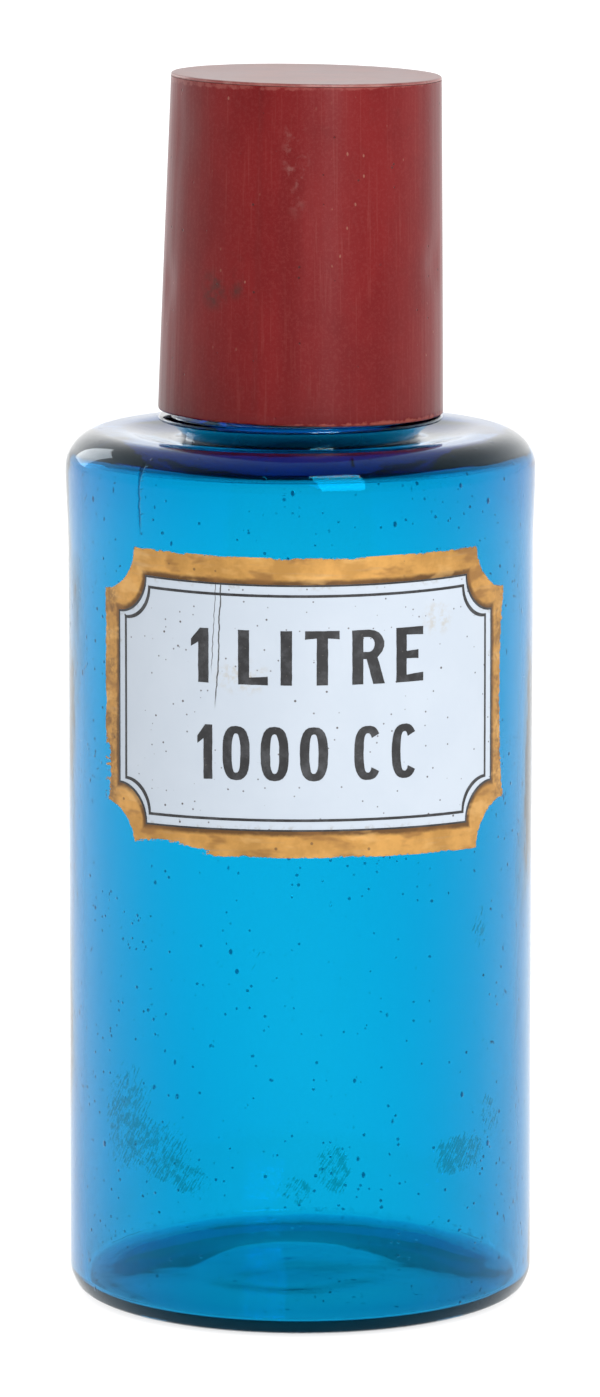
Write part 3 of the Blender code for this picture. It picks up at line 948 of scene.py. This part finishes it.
def make_label():
    black = black_enamel()
    make_frame(
        "gilt_ground", GILDING, drawn_in(PANEL, 0.0002), 0.00002, 0.00002,
        gilding(), "gilding", "label_gilding",
    )
    make_panel(white_enamel())
    make_frame(
        "panel_outline", PANEL, drawn_in(PANEL, OUTLINE_WIDTH), 0.00016, 0.00003,
        black, "black_enamel",
    )
    make_frame(
        "enamel_line", BORDER, drawn_in(BORDER, BORDER_WIDTH), 0.00016, 0.00003,
        black, "black_enamel", "label_border_line",
    )
    make_figures(black)


# ---------------------------------------------------------------- studio


def make_floor():
    bm = bmesh.new()
    bmesh.ops.create_circle(bm, cap_ends=True, segments=96, radius=14.0)
    bmesh.ops.translate(bm, verts=bm.verts, vec=(0, 0, -0.0001))
    f = Finish("pale_floor")
    tone = f.noise(3.0, 2.0, 0.5)
    away = (f.x * f.x + f.y * f.y) ** 0.5
    # The floor glows white. It is dimmer in a disc under the bottle, a painted contact shadow seen through the glass
    # base, and brighter towards the sides.
    glow_with_painted_shadow = away.step(0.040, 0.050, 0.55, 0.96) * abs(f.x).step(0.04, 0.40, 1.18, 1.28)
    sockets = {
        "Base Color": f.mix(tone, rgb(0.10, 0.10, 0.10), rgb(0.12, 0.12, 0.12)),
        "Roughness": 0.85,
        "Emission Color": rgb(1.0, 1.0, 1.0),
        "Emission Strength": glow_with_painted_shadow,
        "Specular IOR Level": 0.1,
    }
    mesh = bpy.data.meshes.new("floor")
    bm.to_mesh(mesh)
    bm.free()
    mesh.materials.append(f.surface(sockets))
    floor = bpy.data.objects.new("floor", mesh)
    bpy.context.scene.collection.objects.link(floor)


def make_world():
    """White all round, darker overhead and behind the camera, and plain white where it is seen directly."""
    world = bpy.data.worlds.new("studio")
    world.use_nodes = True
    tree = world.node_tree
    tree.nodes.clear()

    def add(kind, settings=None, sockets=None):
        made = tree.nodes.new(kind)
        for name, value in (settings or {}).items():
            setattr(made, name, value)
        for name, value in (sockets or {}).items():
            if isinstance(value, bpy.types.NodeSocket):
                tree.links.new(value, made.inputs[name])
            else:
                made.inputs[name].default_value = value
        return made.outputs

    direction = add("ShaderNodeTexCoord")["Generated"]
    axes = add("ShaderNodeSeparateXYZ", None, {0: direction})

    def ramp(value, low, high, start, end):
        sockets = {"Value": value, "From Min": low, "From Max": high, "To Min": start, "To Max": end}
        return add("ShaderNodeMapRange", {"interpolation_type": "SMOOTHSTEP"}, sockets)[0]

    overhead = ramp(axes[2], 0.15, 0.70, 1.15, 0.55)
    front = ramp(axes[1], 0.45, -0.75, 1.0, 0.10)
    lit = add("ShaderNodeMath", {"operation": "MULTIPLY"}, {0: overhead, 1: front})[0]
    seen = add("ShaderNodeLightPath")["Is Camera Ray"]
    strength = add("ShaderNodeMix", {"data_type": "FLOAT"}, {0: seen, 2: lit, 3: 1.02})[0]
    shade = add("ShaderNodeBackground", None, {"Color": (1.0, 1.0, 1.0, 1.0), "Strength": strength})[0]
    add("ShaderNodeOutputWorld", None, {"Surface": shade})
    bpy.context.scene.world = world


def make_light(name, place, aim, size, power):
    data = bpy.data.lights.new(name, "AREA")
    data.shape = "RECTANGLE"
    data.size, data.size_y = size
    data.energy = power
    light = bpy.data.objects.new(name, data)
    light.location = place
    light.rotation_euler = (Vector(aim) - Vector(place)).to_track_quat("-Z", "Y").to_euler()
    bpy.context.scene.collection.objects.link(light)


def make_camera():
    data = bpy.data.cameras.new("camera")
    data.lens = 200.6
    data.sensor_width = 36.0
    camera = bpy.data.objects.new("camera", data)
    camera.location = (-0.0001, -1.602, 0.3773)
    aim = Vector((-0.0001, 0.0, 0.1252))
    camera.rotation_euler = (aim - camera.location).to_track_quat("-Z", "Y").to_euler()
    bpy.context.scene.collection.objects.link(camera)
    bpy.context.scene.camera = camera


def build():
    make_glass(blue_glass())
    make_stopper(stopper_glass())
    paint = red_paint()
    make_cap_wall(paint)
    make_cap_top(reflecting_dusty_top())
    make_solder(soft_solder())
    make_label()
    make_floor()
    make_world()
    make_light("left_softbox", (-1.05, 1.25, 0.75), (0, 0, 0.16), (0.6, 0.8), 3.0)
    make_light("right_softbox", (0.47, -1.21, 0.89), (0, 0, 0.14), (0.55, 1.25), 20.0)
    make_camera()
    bpy.context.scene.view_settings.view_transform = "Standard"


noise.seed_set(1)
build()
